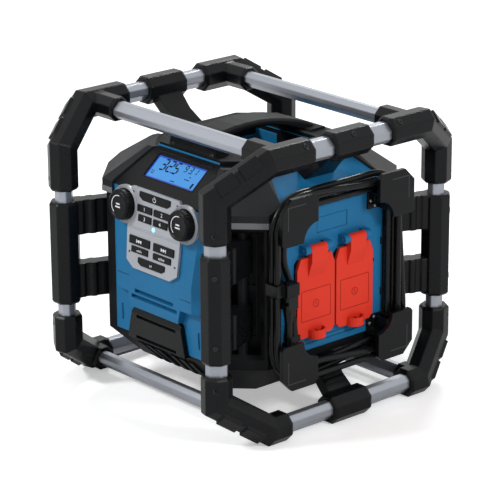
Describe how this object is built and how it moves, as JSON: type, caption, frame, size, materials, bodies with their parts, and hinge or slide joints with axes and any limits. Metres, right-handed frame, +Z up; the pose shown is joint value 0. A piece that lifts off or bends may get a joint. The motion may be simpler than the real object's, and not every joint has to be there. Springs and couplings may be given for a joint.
{
  "type": "jobsite radio",
  "caption": "Jobsite radio in a roll cage of aluminium tubes and black elbows, with control face, sloped display, outlet doors, wound mains cord, grip and battery bay.",
  "frame": {"origin": "middle of the cage's footprint on the floor plane", "axes": "+Z up, front control face towards -Y, outlet side with the cord towards +X"},
  "size_m": [0.3954, 0.4188, 0.3843],
  "materials": {
    "black_moulding": "matte",
    "blue_panel": "matte",
    "board_green": "matte",
    "cage_tube": "satin",
    "cone_black": "matte",
    "cord_rubber": "satin",
    "key_grey": "satin",
    "red_door": "matte",
    "rubber_black": "matte",
    "screen": "gloss",
    "silver_plate": "satin",
    "steel": "satin"
  },
  "bodies": {
    "radio_body": {"post_front_right": "cage_tube", "elbow_top_front_right": "black_moulding", "elbow_low_front_right": "black_moulding", "post_sleeve_front_right": "black_moulding", "post_front_left": "cage_tube", "elbow_top_front_left": "black_moulding", "elbow_low_front_left": "black_moulding", "post_sleeve_front_left": "black_moulding", "post_back_right": "cage_tube", "elbow_top_back_right": "black_moulding", "elbow_low_back_right": "black_moulding", "post_sleeve_back_right": "black_moulding", "post_back_left": "cage_tube", "elbow_top_back_left": "black_moulding", "elbow_low_back_left": "black_moulding", "post_sleeve_back_left": "black_moulding", "side_rails": "cage_tube", "cross_rails": "cage_tube", "rail_brackets": "black_moulding", "housing": "black_moulding", "base_tray": "black_moulding", "front_panel": "blue_panel", "right_panel": "blue_panel", "left_panel": "blue_panel", "back_panel": "blue_panel", "corner_caps": "rubber_black", "display_bezel": "black_moulding", "display_screen": "screen", "control_fascia": "silver_plate", "subwoofer_plate": "black_moulding", "top_cover": "black_moulding", "handle": "rubber_black", "speaker_grilles": "black_moulding", "speaker_drivers": "cone_black", "outlet_sockets": "black_moulding", "hinge_pins": "steel", "cord_hooks": "black_moulding", "mains_cord": "cord_rubber", "mains_plug": "cord_rubber", "cord_clip": "black_moulding", "cord_gland": "black_moulding", "circuit_board": "board_green", "body_screws": "steel", "cage_screws": "steel"},
    "knob_left_body": {"knob_left": "black_moulding"},
    "knob_right_body": {"knob_right": "black_moulding"},
    "outlet_door_left_body": {"outlet_door_left": "red_door"},
    "outlet_door_right_body": {"outlet_door_right": "red_door"},
    "battery_door_body": {"battery_door": "black_moulding"},
    "key_power_body": {"key_power": "key_grey"},
    "key_one_body": {"key_one": "key_grey"},
    "key_two_body": {"key_two": "key_grey"},
    "key_three_body": {"key_three": "key_grey"},
    "key_four_body": {"key_four": "key_grey"},
    "key_previous_body": {"key_previous": "key_grey"},
    "key_next_body": {"key_next": "key_grey"},
    "key_mute_body": {"key_mute": "key_grey"},
    "key_tone_body": {"key_tone": "key_grey"},
    "key_pair_body": {"key_pair": "key_grey"}
  },
  "joints": [
    {"name": "knob_left_turn", "type": "hinge", "parent": "radio_body", "child": "knob_left_body", "pos_m": [-0.059, -0.16133, 0.26464], "axis": [0, -0.9954, 0.0958], "continuous": true},
    {"name": "knob_right_turn", "type": "hinge", "parent": "radio_body", "child": "knob_right_body", "pos_m": [0.059, -0.16133, 0.26464], "axis": [0, -0.9954, 0.0958], "continuous": true},
    {"name": "key_power_press", "type": "slide", "parent": "radio_body", "child": "key_power_body", "axis": [0, 0.9954, -0.0958], "range_m": [0, 0.0012], "stiffness_N_per_m": 600},
    {"name": "key_one_press", "type": "slide", "parent": "radio_body", "child": "key_one_body", "axis": [0, 0.9954, -0.0958], "range_m": [0, 0.0012], "stiffness_N_per_m": 600},
    {"name": "key_two_press", "type": "slide", "parent": "radio_body", "child": "key_two_body", "axis": [0, 0.9954, -0.0958], "range_m": [0, 0.0012], "stiffness_N_per_m": 600},
    {"name": "key_three_press", "type": "slide", "parent": "radio_body", "child": "key_three_body", "axis": [0, 0.9954, -0.0958], "range_m": [0, 0.0012], "stiffness_N_per_m": 600},
    {"name": "key_four_press", "type": "slide", "parent": "radio_body", "child": "key_four_body", "axis": [0, 0.9954, -0.0958], "range_m": [0, 0.0012], "stiffness_N_per_m": 600},
    {"name": "key_previous_press", "type": "slide", "parent": "radio_body", "child": "key_previous_body", "axis": [0, 0.9954, -0.0958], "range_m": [0, 0.0012], "stiffness_N_per_m": 600},
    {"name": "key_next_press", "type": "slide", "parent": "radio_body", "child": "key_next_body", "axis": [0, 0.9954, -0.0958], "range_m": [0, 0.0012], "stiffness_N_per_m": 600},
    {"name": "key_mute_press", "type": "slide", "parent": "radio_body", "child": "key_mute_body", "axis": [0, 0.9954, -0.0958], "range_m": [0, 0.0012], "stiffness_N_per_m": 600},
    {"name": "key_tone_press", "type": "slide", "parent": "radio_body", "child": "key_tone_body", "axis": [0, 0.9954, -0.0958], "range_m": [0, 0.0012], "stiffness_N_per_m": 600},
    {"name": "key_pair_press", "type": "slide", "parent": "radio_body", "child": "key_pair_body", "axis": [0, 0.9954, -0.0958], "range_m": [0, 0.0012], "stiffness_N_per_m": 600},
    {"name": "outlet_door_left_hinge", "type": "hinge", "parent": "radio_body", "child": "outlet_door_left_body", "pos_m": [0.163, -0.0334, 0.232], "axis": [0, -1, 0], "range_deg": [0, 110]},
    {"name": "outlet_door_right_hinge", "type": "hinge", "parent": "radio_body", "child": "outlet_door_right_body", "pos_m": [0.163, 0.0334, 0.232], "axis": [0, -1, 0], "range_deg": [0, 110]},
    {"name": "battery_door_hinge", "type": "hinge", "parent": "radio_body", "child": "battery_door_body", "pos_m": [-0.079, 0.1605, 0.18], "axis": [0, 0, 1], "range_deg": [0, 95]}
  ]
}
